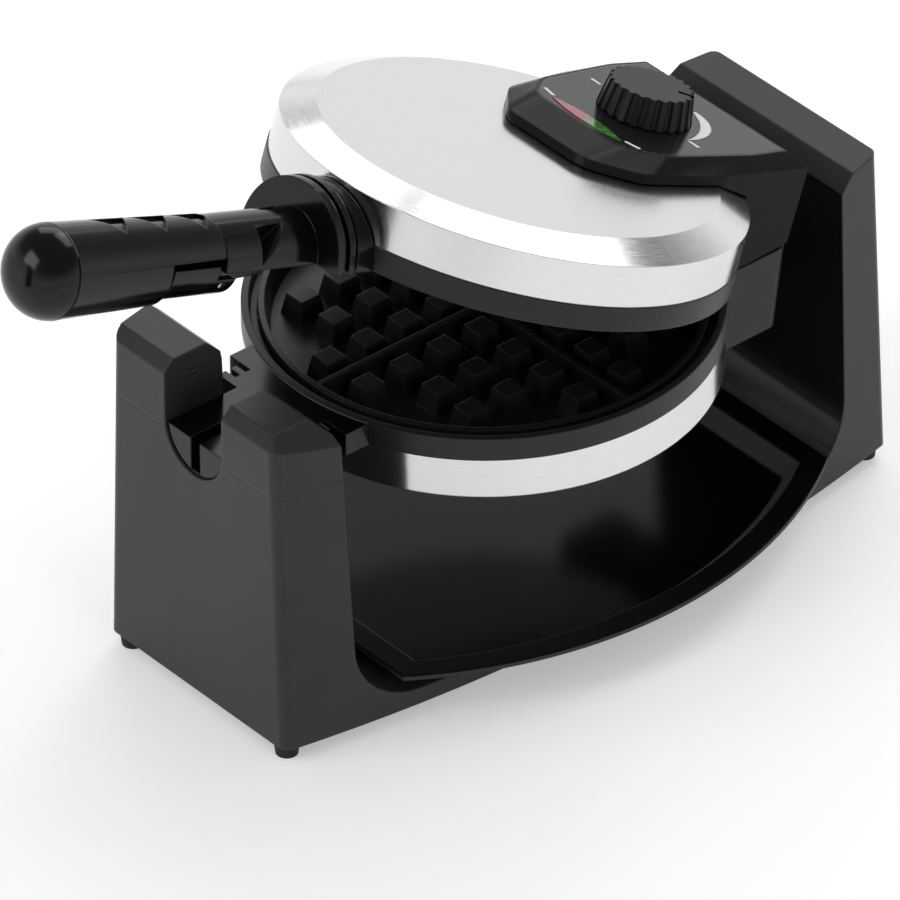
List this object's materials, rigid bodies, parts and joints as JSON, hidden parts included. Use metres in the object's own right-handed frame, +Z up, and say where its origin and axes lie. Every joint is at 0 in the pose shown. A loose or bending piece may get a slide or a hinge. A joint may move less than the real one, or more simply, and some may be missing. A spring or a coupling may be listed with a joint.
{
  "type": "waffle maker",
  "caption": "Flip-over round waffle maker: steel-covered halves on a hinge, turned by a side handle in a two-post stand, with a heat dial and a drip tray.",
  "frame": {"origin": "on the floor under the middle of the whole object's bounding box", "axes": "+Z up, handle towards -Y, rear post towards +Y, +X to the right of a person holding the handle"},
  "size_m": [0.202, 0.4156, 0.2644],
  "materials": {
    "base_plastic": "satin",
    "satin_plastic": "satin",
    "black_plastic": "semi-gloss",
    "tray_plastic": "semi-gloss",
    "foot_rubber": "matt",
    "cover_steel": "brushed",
    "plate_coating": "dark non-stick coating",
    "hardware_steel": "plain",
    "bright_sheet": "plain",
    "board": "matt",
    "red_lens": "clear, tinted",
    "green_lens": "clear, tinted"
  },
  "bodies": {
    "base": {"base_shell": "base_plastic", "front_cap_left": "base_plastic", "front_cap_right": "base_plastic", "rear_cap": "base_plastic", "base_plate": "black_plastic", "base_screws": "hardware_steel", "foot_front_left": "foot_rubber", "foot_front_right": "foot_rubber", "foot_rear_left": "foot_rubber", "foot_rear_right": "foot_rubber", "cord_inlet": "black_plastic", "flip_bearing": "black_plastic"},
    "tray": {"drip_tray": "tray_plastic"},
    "head": {"lower_rim": "black_plastic", "lower_cover": "cover_steel", "lower_plate": "plate_coating", "lower_element": "hardware_steel", "lower_reflector": "bright_sheet", "lower_screws": "hardware_steel", "lower_housing": "satin_plastic", "flip_shaft": "hardware_steel", "shaft_nut": "hardware_steel", "lower_collar": "black_plastic", "hinge_pins": "hardware_steel", "thermal_fuse": "bright_sheet"},
    "lid": {"upper_rim": "black_plastic", "upper_cover": "cover_steel", "upper_plate": "plate_coating", "upper_element": "hardware_steel", "upper_reflector": "bright_sheet", "upper_screws": "hardware_steel", "upper_collar": "black_plastic", "handle_top": "black_plastic", "handle_bottom": "black_plastic", "handle_rod": "hardware_steel", "handle_screws": "hardware_steel", "handle_end_cap": "black_plastic", "latch_pin": "hardware_steel", "latch_spring": "hardware_steel", "control_housing": "black_plastic", "control_panel": "satin_plastic", "lens_red": "red_lens", "lens_green": "green_lens", "lamp_board": "board", "thermostat": "bright_sheet"},
    "latch": {"latch_lever": "black_plastic"},
    "knob": {"knob": "black_plastic", "knob_shaft": "hardware_steel"}
  },
  "joints": [
    {"name": "head_flip", "type": "hinge", "parent": "base", "child": "head", "pos_m": [0, 0.03434, 0.131], "axis": [0, 1, 0], "range_deg": [0, 90]},
    {"name": "lid_hinge", "type": "hinge", "parent": "head", "child": "lid", "pos_m": [0, 0.12934, 0.128], "axis": [-1, 0, 0], "range_deg": [-19.46, 2]},
    {"name": "latch_squeeze", "type": "hinge", "parent": "lid", "child": "latch", "pos_m": [0, -0.11475, 0.2116], "axis": [-1, 0, 0], "range_deg": [0, 5], "stiffness_Nm_per_rad": 0.6, "springref_deg": -8.59, "deforming": ["latch_spring"]},
    {"name": "dial_turn", "type": "hinge", "parent": "lid", "child": "knob", "pos_m": [0, 0.11987, 0.18225], "axis": [0, 0.3331, 0.9429], "range_deg": [-39, 141]},
    {"name": "tray_slide", "type": "slide", "parent": "base", "child": "tray", "axis": [1, 0, 0], "range_m": [0, 0.2]}
  ]
}
